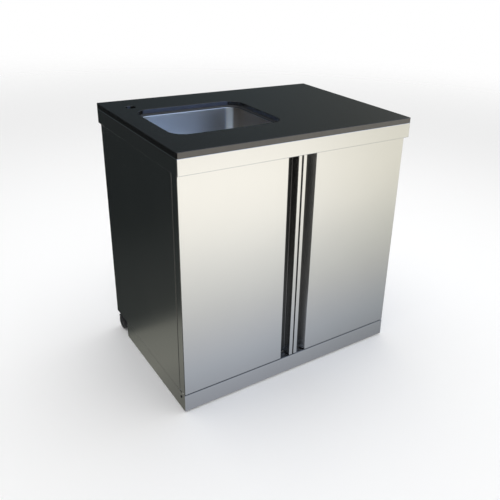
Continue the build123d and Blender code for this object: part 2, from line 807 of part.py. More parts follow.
with BuildPart() as plinth_rear_brackets:
    with BuildSketch(Plane.XZ.offset(-(plinth_return_end - bracket_leg))):
        rectangle(-bracket_x, -bracket_x + bracket_leg, base_under - bracket_t, base_under)
        rectangle(-bracket_x, -bracket_x + bracket_t, base_under - bracket_leg, base_under)
    extrude(amount=bracket_leg)
    mirror(about=Plane.YZ)
save(plinth_rear_brackets, "plinth_rear_brackets")

with BuildPart() as plinth_screws:
    for side in (-1, 1):
        face = side_plane(side, plinth_screw_y, plinth_screw_z)
        with BuildSketch(face):
            Circle(plinth_screw_head_r)
        extrude(amount=plinth_screw_head_h)
        with BuildSketch(face):
            Circle(plinth_screw_r)
        extrude(amount=-plinth_screw_len)
    fillet(plinth_screws.faces().sort_by(Axis.X)[0].edges(), plinth_screw_head_h / 2)
    fillet(plinth_screws.faces().sort_by(Axis.X)[-1].edges(), plinth_screw_head_h / 2)
save(plinth_screws, "plinth_screws")

# ------------------------------------------------------------------ doors and their pivots
plate_front = door_face + bend_r + 2 * sheet
plate_back = body_front + pivot_plate_tail
door_hands = (("left", -1, Side.LEFT, Side.RIGHT), ("right", 1, Side.RIGHT, Side.LEFT))
for name, side, turn, back_turn in door_hands:
    hinge_edge = side * body_half
    meet_edge = meet_x + side * meet_gap / 2
    grip = meet_edge + side * grip_w
    mouth = grip + side * channel_w
    slant_foot = mouth - side * channel_slant_w
    slant_back = door_face + channel_slant_d
    channel_back = door_face + channel_depth
    grip_return = meet_edge + side * (grip_w - sheet - fold_clear)

    with BuildPart() as door_skin:
        with BuildSketch(Plane.XY.offset(door_foot)):
            folded([
                (hinge_edge - side * edge_return, door_back),
                (hinge_edge, door_back),
                (hinge_edge, door_face),
                (mouth, door_face),
                (slant_foot, slant_back),
                (slant_foot, channel_back),
                (grip, channel_back),
                (grip, door_face),
                (meet_edge, door_face),
                (meet_edge, door_back),
                (grip_return, door_back),
            ], turn)
        extrude(amount=door_h)
        for end_z in (door_foot, door_head - sheet):
            with BuildSketch(Plane.XY.offset(end_z)):
                with BuildLine():
                    FilletPolyline(
                        (hinge_edge, door_back), (hinge_edge, door_face), (mouth, door_face),
                        (slant_foot, slant_back), (slant_foot, door_back),
                        radius=bend_r + sheet, close=True,
                    )
                make_face()
                with BuildLine():
                    FilletPolyline(
                        (grip, door_back), (grip, door_face),
                        (meet_edge, door_face), (meet_edge, door_back),
                        radius=bend_r + sheet, close=True,
                    )
                make_face()
                with Locations((side * pivot_half, pivot_y)):
                    Circle(bush_r + pin_clear, mode=Mode.SUBTRACT)
            extrude(amount=sheet)
    save(door_skin, f"{name}_door_skin")

    liner_hinge = hinge_edge - side * (sheet + fold_clear)
    liner_meet = slant_foot + side * (sheet + fold_clear)
    liner_back = door_back - sheet
    with BuildPart() as door_liner:
        with BuildSketch(Plane.XY.offset(door_foot + sheet + fold_clear)):
            folded([
                (liner_hinge, liner_back - door_lip),
                (liner_hinge, liner_back),
                (liner_meet, liner_back),
                (liner_meet, liner_back - liner_lip),
            ], back_turn)
        extrude(amount=door_h - 2 * sheet - 2 * fold_clear)
    save(door_liner, f"{name}_door_liner")

    with BuildPart() as door_bushes:
        for face_z, up in ((door_foot, 1), (door_head, -1)):
            gap = door_foot_gap if up == 1 else door_top_gap
            at = Plane(origin=(side * pivot_half, pivot_y, face_z), z_dir=(0, 0, up))
            with BuildSketch(at):
                Circle(bush_r)
            extrude(amount=bush_len)
            with BuildSketch(at):
                Circle(bush_flange_r)
            extrude(amount=-(gap - bush_seat))
            with BuildSketch(at.offset(-gap)):
                Circle(pin_r + pin_clear)
            extrude(amount=gap + bush_len, mode=Mode.SUBTRACT)
    save(door_bushes, f"{name}_door_bushes")

    with BuildPart() as pivot_plate:
        with BuildSketch(Plane.XY.offset(base_under - plate_t)):
            rectangle(side * plate_inner, side * (plate_inner + pivot_plate_w), plate_front, plate_back)
        extrude(amount=plate_t)
        fillet(pivot_plate.edges().filter_by(Axis.Z), bend_r)
        with BuildSketch(Plane.XY.offset(base_under)):
            with Locations((side * pivot_half, pivot_y)):
                Circle(pin_r)
        extrude(amount=door_foot_gap + pin_reach)
        chamfer(pivot_plate.faces().sort_by(Axis.Z)[-1].edges(), pin_r / 4)
    save(pivot_plate, f"{name}_pivot_plate")

    with BuildPart() as top_pivot:
        with BuildSketch(Plane.XY.offset(skirt_foot + sheet)):
            rectangle(
                side * plate_inner, side * (plate_inner + pivot_plate_w),
                plate_front, body_front - fold_clear,
            )
        extrude(amount=plate_t)
        fillet(top_pivot.edges().filter_by(Axis.Z), bend_r)
        with BuildSketch(Plane.XY.offset(skirt_foot + sheet)):
            with Locations((side * pivot_half, pivot_y)):
                Circle(pin_r)
        extrude(amount=-(sheet + door_top_gap + pin_reach))
        chamfer(top_pivot.faces().sort_by(Axis.Z)[0].edges(), pin_r / 4)
        with BuildSketch(Plane.XY.offset(skirt_foot + sheet + plate_t)):
            with Locations((side * pivot_half, pivot_y)):
                RegularPolygon(2 * pin_r - bend_r, 6)
        extrude(amount=pin_r + bend_r)
    save(top_pivot, f"{name}_top_pivot")

    with BuildPart() as strike:
        with BuildSketch(Plane.XZ.offset(-liner_back)):
            with Locations((meet_x + side * catch_inset, rail_foot - catch_h / 2)):
                RectangleRounded(strike_w, strike_h, strike_t)
        extrude(amount=-strike_t)
    save(strike, f"{name}_strike")

catch_front = door_back - sheet + strike_t + seat_gap
with BuildPart() as door_catches:
    for side in (-1, 1):
        with BuildSketch(Plane.XZ.offset(-catch_front)):
            with Locations((meet_x + side * catch_inset, rail_foot - catch_h / 2)):
                Rectangle(catch_w, catch_h)
        extrude(amount=-catch_d)
    fillet(door_catches.edges().filter_by(Axis.Y), strike_t)
save(door_catches, "door_catches")

bumper_x = meet_gap / 2 + grip_w / 2
with BuildPart() as door_bumpers:
    for bumper_z in (rail_foot + 2 * bumper_r, base_under + sill_h / 2):
        with BuildSketch(Plane.XZ.offset(-body_front)):
            with Locations((meet_x - bumper_x, bumper_z), (meet_x + bumper_x, bumper_z)):
                Circle(bumper_r)
        extrude(amount=door_seal - seat_gap)
    chamfer(door_bumpers.faces().filter_by(Axis.Y).group_by(Axis.Y)[0].edges(), (door_seal - seat_gap) / 3)
save(door_bumpers, "door_bumpers")

# ------------------------------------------------------------------ castors
front_castor_x = body_half - front_castor_side
front_castor_y = body_front + front_castor_in
rear_castor_x = body_half - rear_castor_side
rear_castor_y = body_back - rear_castor_in
castor_places = (
    ("front_left", -front_castor_x, front_castor_y),
    ("front_right", front_castor_x, front_castor_y),
    ("rear_left", -rear_castor_x, rear_castor_y),
    ("rear_right", rear_castor_x, rear_castor_y),
)
core_w = wheel_gap - 2 * hood_gap
hood_in_r = wheel_r + hood_gap
hood_out_r = hood_in_r + hood_t
plate_under = base_under - castor_plate_t
boss_top = plate_under - swivel_gap
castor_w = 2 * wheel_w + wheel_gap
axle_bore_r = axle_r + axle_clear

for name, castor_x, castor_y in castor_places:
    wheel_y = castor_y + castor_trail
    mid = Plane.YZ.offset(castor_x)
    wheel_axis = Axis((castor_x, wheel_y, wheel_r), (1, 0, 0))

    with BuildPart() as castor_plate_part:
        with BuildSketch(Plane.XY.offset(plate_under)):
            with Locations((castor_x, castor_y)):
                RectangleRounded(castor_plate, castor_plate, stem_r)
        extrude(amount=castor_plate_t)
        with BuildSketch(Plane.XY.offset(plate_under)):
            with Locations((castor_x, castor_y)):
                Circle(stem_r)
        extrude(amount=-stem_len)
    save(castor_plate_part, f"{name}_castor_plate")

    with BuildPart() as castor_body:
        with BuildSketch(mid):
            with Locations((wheel_y, wheel_r)):
                Circle(hood_out_r)
                Circle(hood_in_r, mode=Mode.SUBTRACT)
            with Locations((wheel_y, wheel_r - hood_out_r / 2)):
                Rectangle(3 * hood_out_r, hood_out_r + 2 * hood_rise, mode=Mode.SUBTRACT)
        extrude(amount=castor_w / 2, both=True)
        with BuildSketch(mid):
            with Locations((wheel_y, wheel_r)):
                Circle(hood_out_r - hood_t / 2)
            with Locations((wheel_y, wheel_r - hood_out_r / 2)):
                Rectangle(3 * hood_out_r, hood_out_r + 2 * hood_rise, mode=Mode.SUBTRACT)
            with Locations((wheel_y, wheel_r)):
                Circle(hub_r)
            with Locations((castor_y + boss_r / 2, wheel_r + boss_r)):
                Rectangle(boss_r, 2 * boss_r)
        extrude(amount=core_w / 2, both=True)
        with BuildSketch(Plane.XY.offset(boss_top)):
            with Locations((castor_x, castor_y)):
                Circle(boss_r)
        extrude(amount=-stem_len)
        with BuildSketch(Plane.XY.offset(boss_top)):
            with Locations((castor_x, castor_y)):
                Circle(stem_r + pin_clear)
        extrude(amount=-stem_len, mode=Mode.SUBTRACT)
        with Locations((castor_x, wheel_y, wheel_r)):
            Cylinder(axle_bore_r, castor_w, rotation=(0, 90, 0), mode=Mode.SUBTRACT)
        for side in (-1, 1):
            with Locations((castor_x + side * (core_w + castor_w) / 2, wheel_y, wheel_r)):
                Cylinder(hood_in_r, castor_w, rotation=(0, 90, 0), mode=Mode.SUBTRACT)
    save(castor_body, f"{name}_castor_body")

    # two wheels on their axle, three solids that turn together
    with BuildPart() as castor_wheels:
        tread_in = wheel_gap / 2
        tread_out = tread_in + wheel_w
        shoulder = wheel_r - wheel_crown / 4
        with BuildSketch(Plane(origin=(castor_x, wheel_y, wheel_r), x_dir=(1, 0, 0), z_dir=(0, -1, 0))):
            with BuildLine():
                Polyline(
                    (tread_in, wheel_r - wheel_crown),
                    (tread_in, axle_bore_r),
                    (tread_out - hub_dish / 2, axle_bore_r),
                    (tread_out - hub_dish / 2, 2 * axle_r),
                    (tread_out - hub_dish, 2 * axle_r),
                    (tread_out - hub_dish, hub_r),
                    (tread_out, hub_r + hub_dish),
                    (tread_out, wheel_r - wheel_crown),
                    (tread_out - wheel_crown / 2, shoulder),
                    (tread_out - 1.5 * wheel_crown, wheel_r),
                    (tread_in + 1.5 * wheel_crown, wheel_r),
                    (tread_in + wheel_crown / 2, shoulder),
                    close=True,
                )
            make_face()
        revolve(axis=wheel_axis)
        mirror(about=mid)
        with Locations((castor_x, wheel_y, wheel_r)):
            Cylinder(axle_r, castor_w - hub_dish, rotation=(0, 90, 0))
    save(castor_wheels, f"{name}_castor_wheels")
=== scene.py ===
"""Looks of the freestanding sink unit: finishes, small fastenings, floor, light and camera."""

import json
from math import cos, pi, radians, sin

import bmesh
import bpy
from mathutils import Matrix, Vector


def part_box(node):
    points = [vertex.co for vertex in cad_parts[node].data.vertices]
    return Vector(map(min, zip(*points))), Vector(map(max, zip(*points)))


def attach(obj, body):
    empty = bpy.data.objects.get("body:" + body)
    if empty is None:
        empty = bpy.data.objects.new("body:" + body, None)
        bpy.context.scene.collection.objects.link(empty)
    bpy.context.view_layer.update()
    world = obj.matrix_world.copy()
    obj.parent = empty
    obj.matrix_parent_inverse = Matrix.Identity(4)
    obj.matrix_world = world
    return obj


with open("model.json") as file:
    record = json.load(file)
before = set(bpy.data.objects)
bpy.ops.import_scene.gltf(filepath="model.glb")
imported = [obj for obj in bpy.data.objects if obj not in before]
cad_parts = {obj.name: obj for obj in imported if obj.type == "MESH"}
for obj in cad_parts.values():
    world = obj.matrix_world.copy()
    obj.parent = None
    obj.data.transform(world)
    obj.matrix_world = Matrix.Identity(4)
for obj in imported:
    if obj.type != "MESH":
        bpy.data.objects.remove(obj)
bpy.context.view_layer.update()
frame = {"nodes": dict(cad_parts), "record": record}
nodes = frame["nodes"]

# ------------------------------------------------------------------ camera, as the photograph
CAMERA_AT = (-1.1093, -1.7811, 1.4280)
CAMERA_AZIMUTH = radians(36.34)
CAMERA_ELEVATION = radians(24.37)
CAMERA_ROLL = radians(2.81)
FOCAL_PX = 600.8
FRAME_PX = 500.0
CENTRE_PX = (294.5, 226.1)
SENSOR_MM = 36.0
CLIP_END = 60.0


def add_camera():
    """Place the camera by the solved photograph: place, aim, roll, focal length and image centre."""
    data = bpy.data.cameras.new("camera")
    data.sensor_width = SENSOR_MM
    data.lens = FOCAL_PX / FRAME_PX * SENSOR_MM
    data.shift_x = (FRAME_PX / 2 - CENTRE_PX[0]) / FRAME_PX
    data.shift_y = (CENTRE_PX[1] - FRAME_PX / 2) / FRAME_PX
    data.clip_end = CLIP_END
    camera = bpy.data.objects.new("camera", data)
    bpy.context.collection.objects.link(camera)
    camera.matrix_world = (
        Matrix.Translation(CAMERA_AT)
        @ Matrix.Rotation(-CAMERA_AZIMUTH, 4, "Z")
        @ Matrix.Rotation(pi / 2 - CAMERA_ELEVATION, 4, "X")
        @ Matrix.Rotation(CAMERA_ROLL, 4, "Z")
    )
    bpy.context.scene.camera = camera


add_camera()

# ------------------------------------------------------------------ node helpers
# the colour sockets of a Mix node, whose names its other types share
COLOUR_A = 6
COLOUR_B = 7
COLOUR_RESULT = 2
TEXTURE_MIDDLE = (0.3, 0.7)  # the range that most of a noise texture lies in
NOISE_ROUGHNESS = 0.6
EVEN = (1, 1, 1)


def grey(value):
    return (value, value, value)


def opaque(colour):
    """A colour with full alpha."""
    return (*colour, 1.0)


def scaled(colour, share):
    return tuple(value * share for value in colour)


def colour_output(node):
    """The colour that a node gives, be it a mix or a ramp."""
    if node.bl_idname == "ShaderNodeMix":
        return node.outputs[COLOUR_RESULT]
    return node.outputs["Color"]


def empty_material(name):
    material = bpy.data.materials.new(name)
    material.use_nodes = True
    material.node_tree.nodes.clear()
    return material


class Graph:
    """A node tree under construction: short calls that add and join its nodes."""

    def __init__(self, tree):
        self.tree = tree

    def add(self, kind, **settings):
        node = self.tree.nodes.new(kind)
        for key, value in settings.items():
            setattr(node, key, value)
        return node

    def join(self, source, output, target, socket):
        self.tree.links.new(source.outputs[output], target.inputs[socket])

    def ramp(self, source, output, stops):
        """A colour ramp over (position, colour) stops."""
        ramp = self.add("ShaderNodeValToRGB")
        elements = ramp.color_ramp.elements
        while len(elements) < len(stops):
            elements.new(0.5)
        for element, (position, colour) in zip(elements, stops):
            element.position = position
            element.color = opaque(colour)
        self.join(source, output, ramp, "Fac")
        return ramp

    def spread(self, source, output, start, end, before=0.0, after=1.0, interpolation="LINEAR"):
        """Map a value's range from start..end to before..after."""
        node = self.add("ShaderNodeMapRange", interpolation_type=interpolation)
        node.inputs["From Min"].default_value = start
        node.inputs["From Max"].default_value = end
        node.inputs["To Min"].default_value = before
        node.inputs["To Max"].default_value = after
        self.join(source, output, node, "Value")
        return node

    def step(self, source, output, start, end, before=0.0, after=1.0):
        """A smooth step of a value from start to end."""
        return self.spread(source, output, start, end, before, after, "SMOOTHSTEP")

    def along(self, source, output, direction):
        """How far a vector reaches in a direction."""
        node = self.add("ShaderNodeVectorMath", operation="DOT_PRODUCT")
        node.inputs[1].default_value = direction
        self.join(source, output, node, 0)
        return node

    def math(self, operation, first, output, value=0.0, other=None, other_output=0):
        """One sum: a node's output with a number or with another node's output."""
        node = self.add("ShaderNodeMath", operation=operation)
        self.join(first, output, node, 0)
        if other:
            self.join(other, other_output, node, 1)
        else:
            node.inputs[1].default_value = value
        return node

    def product(self, first, *others):
        """The product of two or more masks."""
        for other in others:
            first = self.math("MULTIPLY", first, 0, other=other)
        return first

    def mixed(self, mask, first, second, mask_output=0):
        """Two colours mixed by a mask; each is a node or a plain colour."""
        node = self.add("ShaderNodeMix", data_type="RGBA")
        self.join(mask, mask_output, node, "Factor")
        for socket, colour in ((COLOUR_A, first), (COLOUR_B, second)):
            if isinstance(colour, tuple):
                node.inputs[socket].default_value = opaque(colour)
            else:
                self.tree.links.new(colour_output(colour), node.inputs[socket])
        return node


class Shader(Graph):
    """A material with one principled surface."""

    def __init__(self, name):
        self.material = empty_material(name)
        super().__init__(self.material.node_tree)
        self.surface = self.add("ShaderNodeBsdfPrincipled")
        output = self.add("ShaderNodeOutputMaterial")
        self.join(self.surface, "BSDF", output, "Surface")
        self.coordinates = self.add("ShaderNodeTexCoord")

    def set(self, **values):
        for key, value in values.items():
            self.surface.inputs[key.replace("_", " ")].default_value = value

    def split(self, coordinate):
        """The X, Y and Z of a coordinate: Object for the place, Normal for the facing."""
        node = self.add("ShaderNodeSeparateXYZ")
        self.join(self.coordinates, coordinate, node, "Vector")
        return node

    def noise(self, stretch, scale=1.0, detail=3.0):
        """Noise in object space, stretched by a scale along each axis."""
        mapping = self.add("ShaderNodeMapping")
        mapping.inputs["Scale"].default_value = stretch
        self.join(self.coordinates, "Object", mapping, "Vector")
        noise = self.add("ShaderNodeTexNoise")
        noise.inputs["Scale"].default_value = scale
        noise.inputs["Detail"].default_value = detail
        noise.inputs["Roughness"].default_value = NOISE_ROUGHNESS
        self.join(mapping, "Vector", noise, "Vector")
        return noise

    def tinted(self, texture, low, high):
        """Two colours over the middle range of a texture."""
        return self.ramp(texture, "Fac", list(zip(TEXTURE_MIDDLE, (low, high))))

    def varied(self, texture, low, high):
        """Two values over the middle range of a texture."""
        return self.spread(texture, "Fac", *TEXTURE_MIDDLE, low, high)

    def blended(self, first, second, mask=None):
        """Two values mixed by a mask, or in equal parts."""
        node = self.add("ShaderNodeMix")
        node.inputs["Factor"].default_value = 0.5
        self.join(first, 0, node, "A")
        self.join(second, 0, node, "B")
        if mask:
            self.join(mask, 0, node, "Factor")
        return node

    def paint(self, colour):
        self.tree.links.new(colour_output(colour), self.surface.inputs["Base Color"])

    def gloss(self, value):
        self.join(value, 0, self.surface, "Roughness")

    def brush(self, lines, clouds, low, high):
        """Roughness from low to high, by brush lines and by clouds in equal parts."""
        self.gloss(self.blended(self.varied(lines, low, high), self.varied(clouds, low, high)))

    def bump(self, source, strength, distance):
        node = self.add("ShaderNodeBump")
        node.inputs["Strength"].default_value = strength
        node.inputs["Distance"].default_value = distance
        self.join(source, 0, node, "Height")
        self.join(node, "Normal", self.surface, "Normal")


# ------------------------------------------------------------------ stainless steel
STAINLESS = (0.79, 0.78, 0.765)
GRAIN_FINE = 900.0  # brush lines to the metre, across the grain
GRAIN_LONG = 6.0  # and along it
GRAIN_DETAIL = 2.0
GRAIN_RELIEF = (0.05, 0.00005)  # strength, and depth in metres
CLOUD_SCALE = 3.2
CLOUD_DETAIL = 4.0
CLOUD_SHADE = 0.97  # the steel's tint where its clouds are darkest
STEEL_ROUGH = 0.24
STEEL_ROUGH_RANGE = 0.02
STEEL_ANISOTROPY = 0.55
MEET_X = -0.004  # where the doors meet
CHANNEL_REACH = 0.062  # half the width that both finger channels take
CHANNEL_EDGE = 0.003
CHANNEL_LIP = (-0.3062, -0.3035)  # the folded edge of a channel, front to back
CHANNEL_RIGHT_SHADE = 0.72  # how much painted shade the right channel takes, of the left one
MEET_EDGE = 0.002
BEND_RISING = (0.12, 0.3)  # how far a fold's normal points up, where it starts
BEND_LEVEL = (0.96, 0.99)  # and where it ends
# painted shade: the share of the steel's colour that the darker copy keeps, in the finger channels and
# on the plinth's folds
PAINTED_SHADE = 0.3


def channel_shade_mask(shader):
    """Where shade is painted: one inside the left finger channel and less in the right one, behind their
    lips.
    """
    place = shader.split("Object")
    behind = shader.step(place, "Y", *CHANNEL_LIP)
    aside = shader.math("ABSOLUTE", shader.math("SUBTRACT", place, "X", MEET_X), 0)
    near = shader.step(aside, 0, CHANNEL_REACH, CHANNEL_REACH + CHANNEL_EDGE, 1.0, 0.0)
    weight = shader.step(place, "X", MEET_X, MEET_X + MEET_EDGE, 1.0, CHANNEL_RIGHT_SHADE)
    return shader.product(behind, near, weight)


def bend_shade_mask(shader):
    """Where shade is painted: one on the plinth's folded top edges, where their sheet turns over, as the
    shadow line of the gap above them.
    """
    facing = shader.split("Normal")
    rising = shader.step(facing, "Z", *BEND_RISING)
    not_level = shader.step(facing, "Z", *BEND_LEVEL, 1.0, 0.0)
    return shader.product(rising, not_level)


def steel(name, grain, shade_mask=None):
    """Brushed stainless. grain is the axis that the brushing follows; the masked places get painted
    shade.
    """
    shader = Shader(name)
    stretch = [GRAIN_LONG if axis == grain else GRAIN_FINE for axis in "XYZ"]
    lines = shader.noise(stretch, detail=GRAIN_DETAIL)
    clouds = shader.noise(EVEN, CLOUD_SCALE, CLOUD_DETAIL)
    shader.brush(lines, clouds, STEEL_ROUGH - STEEL_ROUGH_RANGE, STEEL_ROUGH + STEEL_ROUGH_RANGE)
    dark = scaled(STAINLESS, CLOUD_SHADE)
    colour = shader.tinted(clouds, dark, STAINLESS)
    if shade_mask:
        # painted shade: a darker copy of the steel's colour, put where the mask is
        shaded = shader.tinted(clouds, scaled(dark, PAINTED_SHADE), scaled(STAINLESS, PAINTED_SHADE))
        colour = shader.mixed(shade_mask(shader), colour, shaded)
    shader.paint(colour)
    shader.bump(lines, *GRAIN_RELIEF)
    shader.set(Metallic=1.0, Anisotropic=STEEL_ANISOTROPY)
    tangent = shader.add("ShaderNodeTangent", direction_type="RADIAL", axis="Z")
    shader.join(tangent, "Tangent", shader.surface, "Tangent")
    return shader.material


# ------------------------------------------------------------------ stone
# polished, by its specks: (share of the texture, grey)
SPECKS = ((0.0, 0.006), (0.62, 0.008), (0.72, 0.018), (0.80, 0.04))
SPECK_SCALE = 620.0
SPECK_RELIEF = (0.02, 0.0001)
BODY_SCALE = 70.0
BODY_DETAIL = 5.0
FRONT_EDGE_LIGHT = ((0.108, 0.099, 0.085), (0.127, 0.117, 0.100))  # painted light: a lighter grey on the benchtop's front edge, which faces the front
INNER_REFLECTION = ((0.042, 0.057, 0.098), (0.050, 0.067, 0.112))  # painted reflection: a bluish grey on the back walls of the cut-out and tap hole
POLISHED_ROUGH = (0.15, 0.21)
HONED_ROUGH = (0.48, 0.56)
FORWARD = (-0.98, -0.90)  # the Y of a normal that points to the front
FRONT_EDGE = (-0.31, -0.30)


def stone(name):
    """Black engineered stone: polished, with fine specks, and honed where it faces the front; its faces
    that point to the front carry painted light, lighter on the front edge and a painted bluish
    reflection inside.
    """
    shader = Shader(name)
    specks = shader.noise(EVEN, SPECK_SCALE, detail=1.0)
    body = shader.noise(EVEN, BODY_SCALE, BODY_DETAIL)
    polished = shader.ramp(specks, "Fac", [(share, grey(value)) for share, value in SPECKS])
    front_light = shader.tinted(body, *FRONT_EDGE_LIGHT)
    inner_reflection = shader.tinted(body, *INNER_REFLECTION)
    forward = shader.step(shader.split("Normal"), "Y", *FORWARD, 1.0, 0.0)
    outside = shader.step(shader.split("Object"), "Y", *FRONT_EDGE, 1.0, 0.0)
    # painted light on the faces that point to the front: a lighter grey outside, a bluish reflection
    # inside
    shader.paint(shader.mixed(forward, polished, shader.mixed(outside, inner_reflection, front_light)))
    rough = shader.varied(body, *POLISHED_ROUGH), shader.varied(body, *HONED_ROUGH)
    shader.gloss(shader.blended(*rough, mask=forward))
    shader.bump(specks, *SPECK_RELIEF)
    return shader.material


# ------------------------------------------------------------------ bowl
BOWL_SHADE_HEIGHTS = (0.895, 0.80)  # painted shade: the bowl's sheet gets darker from the first height to the second
BOWL_SHADE_SHARE = 0.86
# painted reflection: a bluish tint for the sky that the bowl mirrors
BOWL_SKY_REFLECTION = (0.83, 0.895, 0.98)
# painted highlight on the back corner, and painted shade on the right wall
BOWL_CORNER_HIGHLIGHT = (0.99, 0.93, 0.80)
BOWL_RIGHT_SHADE = (0.27, 0.215, 0.16)
BOWL_ROUGH = (0.32, 0.36)
BOWL_ANISOTROPY = 0.2
# ranges of a normal's parts
UPRIGHT_Z = (0.25, 0.5)
CORNER_X = (-0.12, -0.3)
BACK_Y = (-0.1, 0.1)
RIGHT_X = (-0.62, -0.78)


def satin(name):
    """The bowl's satin steel, with painted light: a bluish painted sky reflection, painted shade that
    grows with depth, a painted highlight on the back corner and painted shade on the right wall.
    """
    shader = Shader(name)
    lines = shader.noise((GRAIN_LONG, GRAIN_FINE, GRAIN_FINE), detail=GRAIN_DETAIL)
    clouds = shader.noise(EVEN, CLOUD_SCALE, CLOUD_DETAIL)
    shader.brush(lines, clouds, *BOWL_ROUGH)

    def tone(colour, share=1.0):
        return shader.tinted(clouds, scaled(scaled(colour, share), CLOUD_SHADE), scaled(colour, share))

    facing = shader.split("Normal")
    depth_shade = shader.step(shader.split("Object"), "Z", *BOWL_SHADE_HEIGHTS)
    upright = shader.step(facing, "Z", *UPRIGHT_Z, 1.0, 0.0)
    turned = shader.step(facing, "X", *CORNER_X)
    back = shader.step(facing, "Y", *BACK_Y, 1.0, 0.0)
    # masks for the painted highlight on the back corner and the painted shade on the right wall
    corner = shader.product(turned, back, upright)
    right = shader.product(shader.step(facing, "X", *RIGHT_X), upright)
    # painted shade with depth, then the painted corner highlight and the painted right-wall shade
    colour = shader.mixed(depth_shade, tone(BOWL_SKY_REFLECTION), tone(BOWL_SKY_REFLECTION, BOWL_SHADE_SHARE))
    colour = shader.mixed(corner, colour, tone(BOWL_CORNER_HIGHLIGHT))
    shader.paint(shader.mixed(right, colour, tone(BOWL_RIGHT_SHADE)))
    shader.bump(lines, *GRAIN_RELIEF)
    shader.set(Metallic=1.0, Anisotropic=BOWL_ANISOTROPY)
    return shader.material


# ------------------------------------------------------------------ plastic, rubber and plated metal
PLAIN_CLOUD_SCALE = 9.0
PLAIN_SHADE = 0.9
PLAIN_ROUGH_RANGE = 0.06
PLAIN_RELIEF = (0.25, 0.00008)


def plain(name, colour, rough, metallic=0.0, grain_scale=260.0, specular=0.5):
    """Moulded plastic, rubber or plated metal: fine grain in gloss and relief, clouds in colour."""
    shader = Shader(name)
    texture = shader.noise(EVEN, grain_scale)
    clouds = shader.noise(EVEN, PLAIN_CLOUD_SCALE)
    shader.paint(shader.tinted(clouds, scaled(colour, PLAIN_SHADE), colour))
    shader.gloss(shader.varied(texture, rough - PLAIN_ROUGH_RANGE, rough + PLAIN_ROUGH_RANGE))
    shader.bump(texture, *PLAIN_RELIEF)
    shader.set(Metallic=metallic, Specular_IOR_Level=specular)
    return shader.material


# ------------------------------------------------------------------ which node takes which finish
finishes = {
    "stone": stone("black_stone"),
    "stainless": steel("stainless_vertical", "Z"),
    "door_steel": steel("door_stainless", "Z", channel_shade_mask),
    "stainless_x": steel("stainless_crosswise", "X"),
    "plinth_steel": steel("plinth_stainless", "X", bend_shade_mask),
    "plinth_return": steel("plinth_return_stainless", "Y", bend_shade_mask),
    "stainless_y": steel("stainless_lengthwise", "Y"),
    "bowl_steel": satin("bowl_satin"),
    "zinc": plain("zinc_plate", (0.66, 0.67, 0.69), 0.38, metallic=1.0, grain_scale=900.0),
    "black_screw": plain("blackened_steel", (0.03, 0.03, 0.032), 0.42, metallic=0.6),
    "white_plastic": plain("white_plastic", (0.80, 0.80, 0.78), 0.36),
    "nylon": plain("natural_nylon", (0.78, 0.76, 0.70), 0.45),
    "rubber": plain("black_rubber", (0.022, 0.022, 0.022), 0.62, specular=0.3),
    "black_plastic": plain("black_nylon", (0.028, 0.028, 0.030), 0.44),
    "wheel": plain("wheel_nylon", (0.035, 0.035, 0.037), 0.38),
    "sealant": plain("dark_sealant", (0.016, 0.017, 0.019), 0.4, specular=0.35),
    "screw_zinc": plain("zinc_screws", (0.60, 0.61, 0.63), 0.34, metallic=1.0, grain_scale=1400.0),
}
# a node has its slot's finish, but for these
OWN_FINISH = {
    "left_door_skin": "door_steel",
    "right_door_skin": "door_steel",
    "plinth_front": "plinth_steel",
    "left_plinth": "plinth_return",
    "right_plinth": "plinth_return",
    "front_rail": "stainless_x",
    "base_pan": "stainless_x",
    "bench_brace_1": "stainless_y",
    "bench_brace_2": "stainless_y",
}
slot_of = {row["node"]: row["material_slot"] for row in frame["record"]["subparts"]}
for node_name, node in nodes.items():
    finish = OWN_FINISH.get(node_name, slot_of[node_name])
    node.data.materials.clear()
    node.data.materials.append(finishes[finish])

# ------------------------------------------------------------------ small fastenings and the bowl's seal
MM = 0.001
FLANGE = 0.020  # steel flange outside the stone's cut-out
CUTOUT_R = 0.055
CORNER_STEPS = 10
QUARTERS = ((1, 1), (-1, 1), (-1, -1), (1, -1))
# the bead across the ledge, in millimetres: inwards from the cut-out, and up from the flange
BEAD = (
    (0.0, 4.5), (0.8, 2.6), (2.0, 1.2), (4.3, 0.5), (6.4, -0.7), (7.4, -2.1),
    (7.6, -3.3), (7.3, -3.5), (6.0, -2.0), (4.0, -0.6), (2.0, -0.3), (0.0, -0.3),
)
# a pan head with a round recess, in millimetres: out from its axis, and away from its seat
HEAD = ((3.2, -0.1), (3.2, 0.45), (2.95, 0.85), (2.3, 1.25), (1.5, 1.42), (1.1, 1.3), (1.0, 0.6))
HEAD_PIT = 0.5  # the middle of the recess
HEAD_STEPS = 20


def add_piece(name, shape, finish, body="carcass"):
    """A mesh piece that rides a body and takes a finish."""
    bmesh.ops.recalc_face_normals(shape, faces=shape.faces)
    mesh = bpy.data.meshes.new(name)
    shape.normal_update()
    shape.to_mesh(mesh)
    shape.free()
    for polygon in mesh.polygons:
        polygon.use_smooth = True
    piece = bpy.data.objects.new(name, mesh)
    bpy.context.collection.objects.link(piece)
    mesh.materials.append(finish)
    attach(piece, body)


def bridge(shape, loops, closed):
    """Quads between loops of the same length, and from the last back to the first when closed."""
    pairs = list(zip(loops, loops[1:]))
    if closed:
        pairs.append((loops[-1], loops[0]))
    for lower, upper in pairs:
        for i in range(len(lower)):
            j = (i + 1) % len(lower)
            shape.faces.new((lower[i], lower[j], upper[j], upper[i]))


def rounded_loop(shape, middle, reach, radius, z):
    """Points around a level rectangle; reach goes from its middle to its corners' centres."""
    loop = []
    for quarter, (sign_x, sign_y) in enumerate(QUARTERS):
        for step in range(CORNER_STEPS + 1):
            turn = (quarter + step / CORNER_STEPS) * pi / 2
            x = middle.x + sign_x * reach[0] + radius * cos(turn)
            y = middle.y + sign_y * reach[1] + radius * sin(turn)
            loop.append(shape.verts.new((x, y, z)))
    return loop


